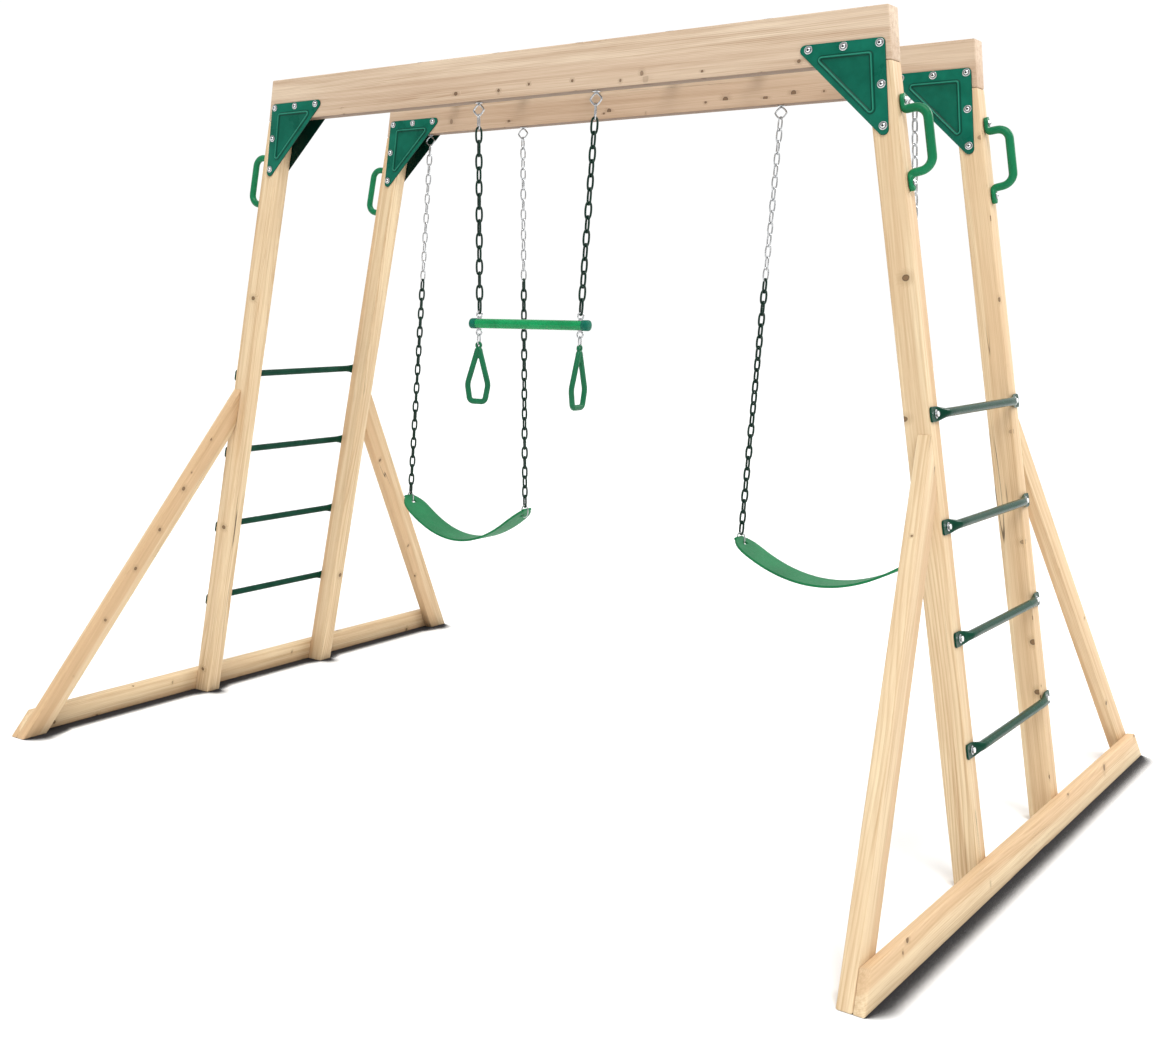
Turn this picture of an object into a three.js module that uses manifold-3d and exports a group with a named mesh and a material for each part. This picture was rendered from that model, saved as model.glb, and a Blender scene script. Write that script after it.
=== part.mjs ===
// Timber monkey bars: two beams on splayed end frames, with climbing rungs, grab handles,
// two belt swings and a trapeze bar with a pair of rings.
// Millimetres. X runs along the beams, Y from front to rear, Z is up from the ground.
import * as THREE from 'three';
import { mergeVertices } from 'three/addons/utils/BufferGeometryUtils.js';
import Module from 'manifold-3d';

const wasm = await Module();
wasm.setup();

// Clearance between pieces that touch.
const gap = 0.3;

// Timber.
const beam = { length: 2250, thick: 70, high: 145, bottom: 2235, endTrim: 18 };
const postSide = 70;
const rowOffset = 355;
const splay = 0.177;
const rail = { length: 2620, thick: 28, high: 88 };
const brace = { thick: 38, wide: 90, topHeight: 1243, cornerClip: 22 };
const braceTopOffset = rowOffset + postSide / 2 + gap;
const braceSlope = brace.topHeight / (rail.length / 2 - braceTopOffset);

// Rungs: round tube with a flattened, bolted lobe at each end.
const rung = { radius: 12.7, lobeWide: 42, lobeThick: 5 };
const ladder = { lowest: 386, spacing: 303, count: 4 };
const ladderRung = { length: 780, lobeLong: 44, taper: 46, boltOffset: rowOffset, boltHigh: 5 };
const overhead = { spacing: 305, count: 6 };
const overheadRung = { length: 720, lobeLong: 44, taper: 78, boltOffset: rowOffset - 20, boltHigh: 3 };
const boltRadius = 10;

// Corner gusset plates, each a triangle with rounded tips held by five screws.
const gusset = {
  thick: 3,
  tipRadius: 14,
  heelX: 1092,
  heelZ: 2281,
  inward: 204,
  downward: 229,
  slope: 0.11,
};
const screw = { radius: 11.5, high: 3 };
const screwsInward = [0, 97, 194];
const screwsDownward = [109, 219];

// Grab handles.
const handle = { centre: 2018, half: 131, reach: 65, radius: 12, lobeWide: 32, lobeThick: 8, grip: 80 };
const handleScrew = { radius: 8, high: 5 };

// Hanging eyes under the beams.
const eye = { wide: 45, high: 44, wire: 3, squareness: 1.5, washerRadius: 12, washerHigh: 3 };
const pivotDrop = eye.washerHigh + gap + eye.high - eye.wire;
const pivotHeight = beam.bottom - pivotDrop;
const chain = { radius: 5, belowPivot: 3.6 };

// Belt swings.
const swing = { centre: 718, hangerHalf: 216, beltWide: 140, beltThick: 8 };
const belt = { endRound: 62, slotAt: 0.95 };
const beltHang = {
  left: { half: 289, low: 634, sag: 148, shift: 0 },
  right: { half: 306, low: 650, sag: 122, shift: 23 },
};

// Trapeze bar and its rings.
const trapeze = { hangerHalf: 218, eyeHalf: 193, height: 1513, length: 452, radius: 16 };
const barCap = { long: 24, proud: 1.5 };
const barEye = { ring: 10, wire: 3, shaft: 4, standOff: 1 };
const ring = { top: 1446, high: 205, wide: 102, tube: 9.5, depth: 8, bottomWide: 72, widestDrop: 138 };
const ringYaw = { left: 0, right: 90 };

const sides = [{ word: 'left', sign: -1 }, { word: 'right', sign: 1 }];
const rows = [{ word: 'front', sign: -1 }, { word: 'rear', sign: 1 }];
const leanAngle = Math.atan(splay);

const materials = {
  beamWood: standard('#d9b78d', 0.75, 0),
  postWood: standard('#e3cb9c', 0.75, 0),
  rungSteel: standard('#123d2b', 0.45, 0.2),
  plateSteel: standard('#0b5b3c', 0.4, 0.1),
  handlePlastic: standard('#158551', 0.45, 0),
  beltRubber: standard('#2f9c5d', 0.6, 0),
  ringPlastic: standard('#1f7d4f', 0.45, 0),
  barPaint: standard('#148a4a', 0.35, 0.1),
  zinc: standard('#c9ccd0', 0.35, 0.9),
  coatedChain: standard('#16372b', 0.5, 0.1),
};

const monkeyBars = new THREE.Group();

function standard(color, roughness, metalness) {
  return new THREE.MeshStandardMaterial({ color, roughness, metalness });
}

function addPiece(name, geometry, material) {
  const mesh = new THREE.Mesh(weld(geometry), material);
  mesh.name = name;
  monkeyBars.add(mesh);
}

// Shared vertices merged, so that the surface is closed.
function weld(geometry) {
  geometry.deleteAttribute('normal');
  geometry.deleteAttribute('uv');
  return mergeVertices(geometry, 1e-4);
}

function toSolid(geometry) {
  const welded = weld(geometry);
  const vertProperties = new Float32Array(welded.attributes.position.array);
  const triVerts = new Uint32Array(welded.index.array);
  return new wasm.Manifold(new wasm.Mesh({ numProp: 3, vertProperties, triVerts }));
}

function fromSolid(solid) {
  const { vertProperties, triVerts } = solid.getMesh();
  const geometry = new THREE.BufferGeometry();
  geometry.setAttribute('position', new THREE.BufferAttribute(vertProperties, 3));
  geometry.setIndex(new THREE.BufferAttribute(triVerts, 1));
  return geometry;
}

function join(...geometries) {
  return fromSolid(geometries.map(toSolid).reduce((total, solid) => total.add(solid)));
}

function cut(geometry, ...tools) {
  return fromSolid(tools.map(toSolid).reduce((total, tool) => total.subtract(tool), toSolid(geometry)));
}

// A prism whose outline lies in the XZ plane.
function prismAlongY(outline, yLow, yHigh) {
  const shape = new THREE.Shape(outline.map(([x, z]) => new THREE.Vector2(x, z)));
  return extrudeAlongY(shape, yLow, yHigh);
}

function extrudeAlongY(shape, yLow, yHigh) {
  const options = { depth: yHigh - yLow, bevelEnabled: false, curveSegments: 4 };
  const geometry = new THREE.ExtrudeGeometry(shape, options);
  geometry.rotateX(Math.PI / 2);
  geometry.translate(0, yHigh, 0);
  return geometry;
}

// A closed surface through rings of points, capped at both ends unless it closes on itself.
function loft(rings, closed = false) {
  const count = rings[0].length;
  const position = rings.flat().flatMap((point) => point.toArray());
  const index = [];
  const spans = closed ? rings.length : rings.length - 1;
  for (let here = 0; here < spans; here += 1) {
    const next = (here + 1) % rings.length;
    for (let side = 0; side < count; side += 1) {
      const beside = (side + 1) % count;
      const [a, b] = [here * count + side, here * count + beside];
      const [c, d] = [next * count + side, next * count + beside];
      index.push(a, c, b, b, c, d);
    }
  }
  if (!closed) {
    const last = (rings.length - 1) * count;
    for (let side = 1; side < count - 1; side += 1) {
      index.push(0, side, side + 1, last, last + side + 1, last + side);
    }
  }
  const geometry = new THREE.BufferGeometry();
  geometry.setAttribute('position', new THREE.Float32BufferAttribute(position, 3));
  geometry.setIndex(volumeOf(position, index) < 0 ? index.reverse() : index);
  return geometry;
}

// Six times the volume enclosed: negative when the faces point in.
function volumeOf(position, index) {
  const corner = (vertex) => new THREE.Vector3().fromArray(position, vertex * 3);
  let total = 0;
  for (let start = 0; start < index.length; start += 3) {
    const [a, b, c] = [0, 1, 2].map((step) => corner(index[start + step]));
    total += a.dot(b.cross(c));
  }
  return total;
}

function ovalRing(centre, across, along, halfAcross, halfAlong, sideCount) {
  return Array.from({ length: sideCount }, (_, step) => {
    const angle = (2 * Math.PI * (step + 0.5)) / sideCount;
    return centre.clone()
      .addScaledVector(across, halfAcross * Math.cos(angle))
      .addScaledVector(along, halfAlong * Math.sin(angle));
  });
}

// A path in the XZ plane through the corners, each corner rounded by its radius.
function roundedPath(corners, radii, closed, stepCount = 4) {
  const path = [];
  corners.forEach(([x, z], place) => {
    const corner = new THREE.Vector3(x, 0, z);
    const isEnd = !closed && (place === 0 || place === corners.length - 1);
    if (isEnd) {
      path.push(corner);
      return;
    }
    const [before, after] = [-1, 1].map((step) => {
      const [nx, nz] = corners[(place + step + corners.length) % corners.length];
      return new THREE.Vector3(nx, 0, nz).sub(corner).normalize();
    });
    const halfTurn = before.angleTo(after) / 2;
    const setBack = radii[place] / Math.tan(halfTurn);
    const bisector = before.clone().add(after).normalize();
    const centre = corner.clone().addScaledVector(bisector, radii[place] / Math.sin(halfTurn));
    const from = corner.clone().addScaledVector(before, setBack).sub(centre);
    const to = corner.clone().addScaledVector(after, setBack).sub(centre);
    const sweepAngle = from.angleTo(to);
    for (let step = 0; step <= stepCount; step += 1) {
      const part = step / stepCount;
      const arm = from.clone().multiplyScalar(Math.sin((1 - part) * sweepAngle))
        .addScaledVector(to, Math.sin(part * sweepAngle))
        .divideScalar(Math.sin(sweepAngle));
      path.push(centre.clone().add(arm));
    }
  });
  return path;
}

// An oval section carried along a path in the XZ plane. sizeAt(part) gives its half sizes in
// the plane and across it, for a place from 0 at the path's start to 1 at its end.
function sweep(path, sizeAt, sideCount, closed = false) {
  const across = new THREE.Vector3(0, 1, 0);
  const lengths = path.map((point, place) => (place === 0 ? 0 : point.distanceTo(path[place - 1])));
  const total = lengths.reduce((sum, length) => sum + length, 0);
  let run = 0;
  const rings = path.map((point, place) => {
    run += lengths[place];
    const ahead = closed ? path[(place + 1) % path.length] : path[Math.min(place + 1, path.length - 1)];
    const behind = closed ? path.at(place - 1) : path[Math.max(place - 1, 0)];
    const tangent = ahead.clone().sub(behind).normalize();
    const inPlane = tangent.clone().cross(across).normalize();
    const [halfInPlane, halfAcross] = sizeAt(run / total);
    return ovalRing(point, inPlane, across, halfInPlane, halfAcross, sideCount);
  });
  return loft(rings, closed);
}

function cylinder(radius, high, sideCount = 10) {
  const geometry = new THREE.CylinderGeometry(radius, radius, high, sideCount);
  geometry.rotateX(Math.PI / 2);
  return geometry;
}

// The outer plane of an end frame leans inwards as it rises; this is its X at a height.
function outerPlane(height) {
  return beam.length / 2 + (beam.bottom - height) * splay;
}

// Turns a piece made for the right-hand end to the left-hand end.
function toSide(geometry, side) {
  if (side.sign < 0) {
    geometry.rotateZ(Math.PI);
  }
  return geometry;
}

// Lays a piece whose back is the plane z = 0 against the right-hand end frame at a height.
function layOnEndFrame(geometry, height) {
  geometry.rotateY(Math.PI / 2 - leanAngle);
  geometry.translate(outerPlane(height) + gap, 0, height);
  return geometry;
}

function addBeams() {
  const half = beam.length / 2;
  const top = beam.bottom + beam.high;
  const outline = [
    [-half, beam.bottom],
    [half, beam.bottom],
    [half - beam.endTrim, top],
    [-half + beam.endTrim, top],
  ];
  rows.forEach((row) => {
    const middle = row.sign * rowOffset;
    const geometry = prismAlongY(outline, middle - beam.thick / 2, middle + beam.thick / 2);
    addPiece(`beam_${row.word}`, geometry, materials.beamWood);
  });
}

function addPosts() {
  const top = beam.bottom - gap;
  const wide = postSide / Math.cos(leanAngle);
  const outline = [
    [outerPlane(0) - wide, 0],
    [outerPlane(0), 0],
    [outerPlane(top), top],
    [outerPlane(top) - wide, top],
  ];
  sides.forEach((side) => rows.forEach((row) => {
    const middle = row.sign * side.sign * rowOffset;
    const geometry = prismAlongY(outline, middle - postSide / 2, middle + postSide / 2);
    addPiece(`post_${row.word}_${side.word}`, toSide(geometry, side), materials.postWood);
  }));
}

// The rail stands on edge on the ground against the outside of the posts' feet. Its ends are cut
// to the slope of the braces.
function addBaseRails() {
  const inner = outerPlane(0) + gap;
  const rise = new THREE.Vector2(-Math.sin(leanAngle), Math.cos(leanAngle)).multiplyScalar(rail.high);
  const out = new THREE.Vector2(Math.cos(leanAngle), Math.sin(leanAngle)).multiplyScalar(rail.thick);
  const outline = [
    [inner, 0],
    [inner + rail.thick / Math.cos(leanAngle), 0],
    [inner + rise.x + out.x, rise.y + out.y],
    [inner + rise.x, rise.y],
  ];
  const ends = rows.map((row) => outline.map(([x, z]) => (
    new THREE.Vector3(x, row.sign * (rail.length / 2 - z / braceSlope), z)
  )));
  sides.forEach((side) => {
    const geometry = loft(ends);
    addPiece(`base_rail_${side.word}`, toSide(geometry, side), materials.postWood);
  });
}

// A brace runs in the end frame's plane from the end of the rail up to the side of a post.
function addBraces() {
  const foot = rail.length / 2;
  const steep = Math.atan(braceSlope);
  const footWide = brace.wide / Math.sin(steep);
  const headHigh = brace.wide / Math.cos(steep);
  const lowCorner = brace.topHeight - headHigh;
  const shape = new THREE.Shape([
    new THREE.Vector2(foot, 0),
    new THREE.Vector2(braceTopOffset, brace.topHeight),
    new THREE.Vector2(braceTopOffset, lowCorner + brace.cornerClip),
    new THREE.Vector2(braceTopOffset + brace.cornerClip / braceSlope, lowCorner - brace.cornerClip),
    new THREE.Vector2(foot - footWide, 0),
  ]);
  const depth = brace.thick / Math.cos(leanAngle);
  const standUp = new THREE.Matrix4().set(
    0, 0, 1, outerPlane(0) - depth,
    1, 0, 0, 0,
    0, 1, 0, 0,
    0, 0, 0, 1,
  );
  const lean = new THREE.Matrix4().set(
    1, 0, -splay, 0,
    0, 1, 0, 0,
    0, 0, 1, 0,
    0, 0, 0, 1,
  );
  sides.forEach((side) => rows.forEach((row) => {
    const geometry = new THREE.ExtrudeGeometry(shape, { depth, bevelEnabled: false });
    geometry.applyMatrix4(standUp);
    if (row.sign * side.sign < 0) {
      geometry.rotateZ(Math.PI);
      geometry.translate(2 * outerPlane(0) - depth, 0, 0);
    }
    geometry.applyMatrix4(lean);
    addPiece(`brace_${row.word}_${side.word}`, toSide(geometry, side), materials.postWood);
  }));
}

// A rung along Y whose flattened ends lie on the plane z = 0, with a bolt head on each.
function rungGeometry({ length, lobeLong, taper, boltOffset, boltHigh }) {
  const half = length / 2;
  const flatWide = rung.lobeWide / 2;
  const flatThick = rung.lobeThick / 2;
  const stations = [
    [half, flatWide * 0.8, flatThick],
    [half - 5, flatWide, flatThick],
    [half - lobeLong, flatWide, flatThick],
    [half - lobeLong - taper / 2, (flatWide + rung.radius) / 2, (flatThick + rung.radius) / 2],
    [half - lobeLong - taper, rung.radius, rung.radius],
  ];
  const mirrored = stations.map(([y, wide, thick]) => [-y, wide, thick]).reverse();
  const across = new THREE.Vector3(1, 0, 0);
  const up = new THREE.Vector3(0, 0, 1);
  const rings = [...stations, ...mirrored].map(([y, wide, thick]) => (
    ovalRing(new THREE.Vector3(0, y, thick), across, up, wide, thick, 10)
  ));
  const heads = rows.map((row) => {
    const head = cylinder(boltRadius, boltHigh + rung.lobeThick / 2, 8);
    head.translate(0, row.sign * boltOffset, (boltHigh + rung.lobeThick * 1.5) / 2);
    return head;
  });
  return join(loft(rings), ...heads);
}

function addRungs() {
  sides.forEach((side) => {
    for (let step = 0; step < ladder.count; step += 1) {
      const height = ladder.lowest + step * ladder.spacing;
      const geometry = toSide(layOnEndFrame(rungGeometry(ladderRung), height), side);
      addPiece(`ladder_rung_${side.word}_${step + 1}`, geometry, materials.rungSteel);
    }
  });
  for (let step = 0; step < overhead.count; step += 1) {
    const geometry = rungGeometry(overheadRung);
    const x = (step - (overhead.count - 1) / 2) * overhead.spacing;
    geometry.translate(x, 0, beam.bottom + beam.high + gap);
    addPiece(`overhead_rung_${step + 1}`, geometry, materials.rungSteel);
  }
}

// A triangular plate in the XZ plane with rounded tips; direction is +1 or -1 along X.
function gussetOutline(direction) {
  const heel = [gusset.heelX, gusset.heelZ];
  const tips = [
    heel,
    [heel[0] - gusset.inward, heel[1]],
    [heel[0] + gusset.downward * gusset.slope, heel[1] - gusset.downward],
  ];
  const shape = new THREE.Shape();
  tips.forEach(([x, z], place) => {
    const [px, pz] = tips[(place + 2) % 3];
    const [nx, nz] = tips[(place + 1) % 3];
    const start = Math.atan2(x - px, pz - z) + Math.PI;
    const end = Math.atan2(nx - x, z - nz) + Math.PI;
    shape.absarc(x, z, gusset.tipRadius, start, end, false);
  });
  const points = shape.getPoints(3);
  const facing = points.map((point) => new THREE.Vector2(point.x * direction, point.y));
  return new THREE.Shape(facing);
}

// Each corner has one plate on the front face and one on the rear face of its beam and post.
function addGussets() {
  sides.forEach((side) => rows.forEach((row) => rows.forEach((face) => {
    const direction = -side.sign * face.sign;
    const plate = extrudeAlongY(gussetOutline(direction), -gusset.thick, 0);
    const places = [
      ...screwsInward.map((inward) => [gusset.heelX - inward, gusset.heelZ]),
      ...screwsDownward.map((down) => [gusset.heelX + down * gusset.slope, gusset.heelZ - down]),
    ];
    const heads = places.map(([x, z]) => {
      const head = cylinder(screw.radius, screw.high + gusset.thick / 2, 8);
      head.rotateX(Math.PI / 2);
      head.translate(x * direction, -gusset.thick / 2 - (screw.high + gusset.thick / 2) / 2, z);
      return head;
    });
    const geometry = join(plate, ...heads);
    if (face.sign > 0) {
      geometry.rotateZ(Math.PI);
    }
    const beamFace = row.sign * rowOffset + face.sign * (beam.thick / 2 + gap);
    geometry.translate(0, beamFace, 0);
    addPiece(`gusset_${row.word}_${side.word}_${face.word}_face`, geometry, materials.plateSteel);
  })));
}

// A handle with a straight grip and an oval foot at each end, lying on the plane x = 0.
function handleGeometry() {
  const footCentre = handle.lobeThick / 2;
  const legTop = handle.half - 40;
  const legBottom = -handle.half + 44;
  const corners = [
    [footCentre, handle.half],
    [footCentre, legTop],
    [handle.reach, handle.grip],
    [handle.reach, -handle.grip + 4],
    [footCentre, legBottom],
    [footCentre, -handle.half],
  ];
  const path = roundedPath(corners, [0, 14, 26, 26, 14, 0], false, 3);
  const footEnd = 0.095;
  const neckEnd = 0.17;
  const sizeAt = (part) => {
    const fromEnd = Math.min(part, 1 - part);
    if (fromEnd < 1e-6) {
      return [handle.lobeThick / 2, handle.lobeWide * 0.3];
    }
    const round = THREE.MathUtils.smoothstep(fromEnd, footEnd, neckEnd);
    return [
      THREE.MathUtils.lerp(handle.lobeThick / 2, handle.radius, round),
      THREE.MathUtils.lerp(handle.lobeWide / 2, handle.radius, round),
    ];
  };
  const first = path[0].clone().lerp(path[1], 0.2);
  const last = path.at(-1).clone().lerp(path.at(-2), 0.2);
  const denser = [path[0], first, ...path.slice(1, -1), last, path.at(-1)];
  const heads = [handle.half - 20, -handle.half + 22].map((height) => {
    const head = cylinder(handleScrew.radius, handleScrew.high, 8);
    head.rotateY(Math.PI / 2);
    head.translate(handle.lobeThick + handleScrew.high / 2 - 2, 0, height);
    return head;
  });
  return join(sweep(denser, sizeAt, 10), ...heads);
}

function addHandles() {
  sides.forEach((side) => rows.forEach((row) => {
    const geometry = handleGeometry();
    geometry.rotateY(-leanAngle);
    geometry.translate(outerPlane(handle.centre) + gap, row.sign * side.sign * rowOffset, handle.centre);
    addPiece(`handle_${row.word}_${side.word}`, toSide(geometry, side), materials.handlePlastic);
  }));
}

// A diamond-shaped eye of round wire under a washer, hanging from the origin. The diamond is a
// superellipse, whose corners are a little rounded.
function eyeGeometry() {
  const pointCount = 16;
  const halfWide = eye.wide / 2 - eye.wire;
  const halfHigh = eye.high / 2 - eye.wire;
  const middle = -eye.washerHigh - eye.high / 2;
  const path = Array.from({ length: pointCount }, (_, step) => {
    const angle = (2 * Math.PI * step) / pointCount;
    const bulge = (part) => Math.sign(part) * Math.abs(part) ** eye.squareness;
    const z = middle + halfHigh * bulge(Math.sin(angle));
    return new THREE.Vector3(halfWide * bulge(Math.cos(angle)), 0, z);
  });
  const loop = sweep(path, () => [eye.wire, eye.wire], 6, true);
  const washer = cylinder(eye.washerRadius, eye.washerHigh, 8);
  washer.translate(0, 0, -eye.washerHigh / 2);
  const shank = cylinder(eye.wire * 1.3, eye.washerHigh + eye.wire * 2, 8);
  shank.translate(0, 0, -eye.washerHigh / 2 - eye.wire);
  return join(washer, shank, loop);
}

// A chain hangs straight from its eye; its links are drawn into one slim round bar.
function chainGeometry(fromX, toX, bottom) {
  const topZ = pivotHeight - chain.belowPivot;
  const ends = [new THREE.Vector3(fromX, 0, topZ), new THREE.Vector3(toX, 0, bottom)];
  const across = new THREE.Vector3(1, 0, 0);
  const along = new THREE.Vector3(0, 1, 0);
  return loft(ends.map((end) => ovalRing(end, across, along, chain.radius, chain.radius, 8)));
}

// A belt seat hangs in a curve, and its ends are rounded.
function beltGeometry(hang) {
  const stepCount = 16;
  const rings = [];
  for (let step = 0; step <= stepCount; step += 1) {
    const part = Math.sin(((step / stepCount) * 2 - 1) * Math.PI / 2);
    const fromEnd = hang.half * (1 - Math.abs(part));
    const round = Math.max(0, 1 - fromEnd / belt.endRound);
    const halfWide = (swing.beltWide / 2) * Math.sqrt(Math.max(0.12, 1 - round * round));
    const slope = (2 * hang.sag * part) / hang.half;
    const lift = new THREE.Vector3(-slope, 0, 1).normalize().multiplyScalar(swing.beltThick / 2);
    const centre = new THREE.Vector3(hang.half * part, 0, hang.low + hang.sag * part * part);
    rings.push([[-1, 1], [1, 1], [1, -1], [-1, -1]].map(([width, level]) => {
      const corner = centre.clone().addScaledVector(lift, level);
      corner.y = halfWide * width;
      return corner;
    }));
  }
  return loft(rings);
}

function addSwings() {
  sides.forEach((side) => {
    const centre = side.sign * swing.centre;
    const hang = beltHang[side.word];
    const slotX = hang.half * belt.slotAt;
    const slotTop = hang.low + hang.sag * belt.slotAt ** 2 + swing.beltThick * 1.8;
    const seat = beltGeometry(hang);
    seat.translate(centre + hang.shift, rowOffset, 0);
    addPiece(`swing_belt_${side.word}`, seat, materials.beltRubber);
    sides.forEach((end) => {
      const hangerX = centre + end.sign * swing.hangerHalf;
      const hanger = eyeGeometry();
      hanger.translate(hangerX, rowOffset, beam.bottom - gap);
      addPiece(`swing_hanger_${side.word}_${end.word}`, hanger, materials.zinc);
      const links = chainGeometry(hangerX, centre + hang.shift + end.sign * slotX, slotTop);
      links.translate(0, rowOffset, 0);
      addPiece(`swing_chain_${side.word}_${end.word}`, links, materials.zinc);
    });
  });
}

// The bar is a painted tube with a slightly larger cap at each end, bored for its eye bolts.
function barGeometry() {
  const half = trapeze.length / 2;
  const capRadius = trapeze.radius + barCap.proud;
  const profile = [
    [0, -half],
    [capRadius, -half],
    [capRadius, -half + barCap.long],
    [trapeze.radius, -half + barCap.long],
    [trapeze.radius, half - barCap.long],
    [capRadius, half - barCap.long],
    [capRadius, half],
    [0, half],
  ];
  const bar = new THREE.LatheGeometry(profile.map(([radius, at]) => new THREE.Vector2(radius, at)), 16);
  bar.rotateZ(-Math.PI / 2);
  const bores = sides.map((side) => {
    const bore = cylinder(barEye.shaft + gap, capRadius * 4, 8);
    bore.translate(side.sign * trapeze.eyeHalf, 0, 0);
    return bore;
  });
  return cut(bar, ...bores);
}

// A through bolt with an eye above and an eye below the bar.
function barEyeGeometry() {
  const centre = trapeze.radius + barEye.standOff + barEye.ring + barEye.wire;
  const shaft = cylinder(barEye.shaft, 2 * (centre - barEye.ring), 8);
  const loops = [-1, 1].map((direction) => {
    const loop = new THREE.TorusGeometry(barEye.ring, barEye.wire, 6, 12);
    loop.rotateX(Math.PI / 2);
    loop.translate(0, 0, direction * centre);
    return loop;
  });
  return join(shaft, ...loops);
}

// A ring hangs from its link below the origin: straight sides, a web at the top, a level grip.
function ringGeometry(apexDrop) {
  const halfWide = ring.wide / 2 - ring.tube;
  const halfBottom = ring.bottomWide / 2 - ring.tube * 0.6;
  const apex = -apexDrop - ring.tube;
  const bottom = -apexDrop - ring.high + ring.tube;
  const widest = -apexDrop - ring.widestDrop;
  const corners = [
    [0, apex],
    [halfWide, widest],
    [halfBottom, bottom],
    [-halfBottom, bottom],
    [-halfWide, widest],
  ];
  const path = roundedPath(corners, [5, 46, 17, 17, 46], true, 3);
  const loop = sweep(path, () => [ring.tube, ring.depth], 8, true);
  const webDrop = 44;
  const webHalf = (halfWide * webDrop) / (apex - widest);
  const web = prismAlongY([[0, apex + 2], [webHalf, apex - webDrop], [-webHalf, apex - webDrop]], -5, 5);
  const linkBottom = apexDrop + 2 * ring.tube;
  const link = cylinder(chain.radius, linkBottom - chain.belowPivot, 8);
  link.translate(0, 0, -(linkBottom + chain.belowPivot) / 2);
  return join(loop, web, link);
}

function addTrapeze() {
  const eyeDrop = trapeze.radius + barEye.standOff + 2 * (barEye.ring + barEye.wire);
  const ringPivot = trapeze.height - eyeDrop + barEye.wire;
  const bar = barGeometry();
  bar.translate(0, -rowOffset, trapeze.height);
  addPiece('trapeze_bar', bar, materials.barPaint);
  sides.forEach((side) => {
    const hangerX = side.sign * trapeze.hangerHalf;
    const eyeX = side.sign * trapeze.eyeHalf;
    const hanger = eyeGeometry();
    hanger.translate(hangerX, -rowOffset, beam.bottom - gap);
    addPiece(`trapeze_hanger_${side.word}`, hanger, materials.zinc);
    const links = chainGeometry(hangerX, eyeX, trapeze.height + eyeDrop + gap);
    links.translate(0, -rowOffset, 0);
    addPiece(`trapeze_chain_${side.word}`, links, materials.coatedChain);
    const bolt = barEyeGeometry();
    bolt.translate(eyeX, -rowOffset, trapeze.height);
    addPiece(`trapeze_eye_bolt_${side.word}`, bolt, materials.zinc);
    const hand = ringGeometry(ringPivot - ring.top);
    hand.rotateZ(THREE.MathUtils.degToRad(ringYaw[side.word]));
    hand.translate(eyeX, -rowOffset, ringPivot);
    addPiece(`ring_${side.word}`, hand, materials.ringPlastic);
  });
}

addBeams();
addPosts();
addBaseRails();
addBraces();
addRungs();
addGussets();
addHandles();
addSwings();
addTrapeze();

export default monkeyBars;
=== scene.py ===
"""The finished look of the timber monkey bars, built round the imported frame. Metres, Z up."""

import math
import random

import bmesh
import bpy
from mathutils import Matrix, Vector, noise


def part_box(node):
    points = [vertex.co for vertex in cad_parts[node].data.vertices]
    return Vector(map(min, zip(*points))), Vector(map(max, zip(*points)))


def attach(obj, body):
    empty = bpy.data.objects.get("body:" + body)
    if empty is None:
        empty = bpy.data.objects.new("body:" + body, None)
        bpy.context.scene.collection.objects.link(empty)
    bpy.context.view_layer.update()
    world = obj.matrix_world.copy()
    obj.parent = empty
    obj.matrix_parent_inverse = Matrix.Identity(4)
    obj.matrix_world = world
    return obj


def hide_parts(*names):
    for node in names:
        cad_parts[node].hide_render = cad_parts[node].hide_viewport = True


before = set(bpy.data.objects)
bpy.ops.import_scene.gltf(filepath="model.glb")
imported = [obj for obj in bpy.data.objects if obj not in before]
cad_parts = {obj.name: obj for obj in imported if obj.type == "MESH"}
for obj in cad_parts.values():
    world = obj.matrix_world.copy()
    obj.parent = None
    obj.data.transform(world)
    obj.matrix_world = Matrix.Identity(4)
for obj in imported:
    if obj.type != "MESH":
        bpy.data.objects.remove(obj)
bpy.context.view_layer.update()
scene = bpy.context.scene

X, Y, Z = Vector((1, 0, 0)), Vector((0, 1, 0)), Vector((0, 0, 1))
SIDES = {"left": -1, "right": 1}
ROWS = {"front": -1, "rear": 1}

# Places that follow from the frame.
BEAM_LOW, BEAM_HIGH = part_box("beam_front")
HALF_BEAM = BEAM_HIGH.x
BEAM_BOTTOM, BEAM_TOP = BEAM_LOW.z, BEAM_HIGH.z
ROW = -(BEAM_LOW.y + BEAM_HIGH.y) / 2
SPLAY = (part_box("post_front_right")[1].x - HALF_BEAM) / BEAM_BOTTOM
LEAN = math.atan(SPLAY)

# Clearance between pieces that touch.
GAP = 0.0003


def outer_plane(height):
    """X of the posts' outer faces on the right, at a height."""
    return HALF_BEAM + (BEAM_BOTTOM - height) * SPLAY


def middle_x(node):
    low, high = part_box(node)
    return (low.x + high.x) / 2


# ---------------------------------------------------------------- materials


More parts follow.
